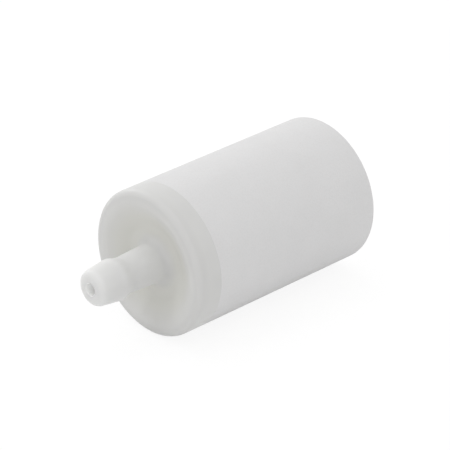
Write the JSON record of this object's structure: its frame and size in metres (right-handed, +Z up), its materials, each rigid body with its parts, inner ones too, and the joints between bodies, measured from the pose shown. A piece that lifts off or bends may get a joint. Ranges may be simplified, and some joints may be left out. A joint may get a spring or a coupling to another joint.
{
  "type": "pneumatic muffler",
  "caption": "Cylindrical pneumatic exhaust muffler: a porous white sleeve closed in front by a moulded cap with a barbed hose stem in a shallow dish.",
  "frame": {"origin": "on the muffler's axis, in the plane of the cap's lip", "axes": "+X along the axis, from the stem towards the closed rear; +Z up"},
  "size_m": [0.0514, 0.025, 0.025],
  "materials": {
    "natural_plastic": "milky, satin",
    "porous_plastic": "sintered, matt",
    "tube_plastic": "satin",
    "felt": "felted",
    "packing": "open fibre",
    "screen_metal": "bright"
  },
  "bodies": {
    "root": {"inlet_cap": "natural_plastic", "porous_sleeve": "porous_plastic", "end_disc": "porous_plastic", "inlet_screen": "screen_metal", "diffuser_tube": "tube_plastic", "diffuser_plug": "tube_plastic", "front_washer": "felt", "felt_wrap": "felt", "packing_roll": "packing", "rear_washer": "felt"}
  },
  "joints": []
}
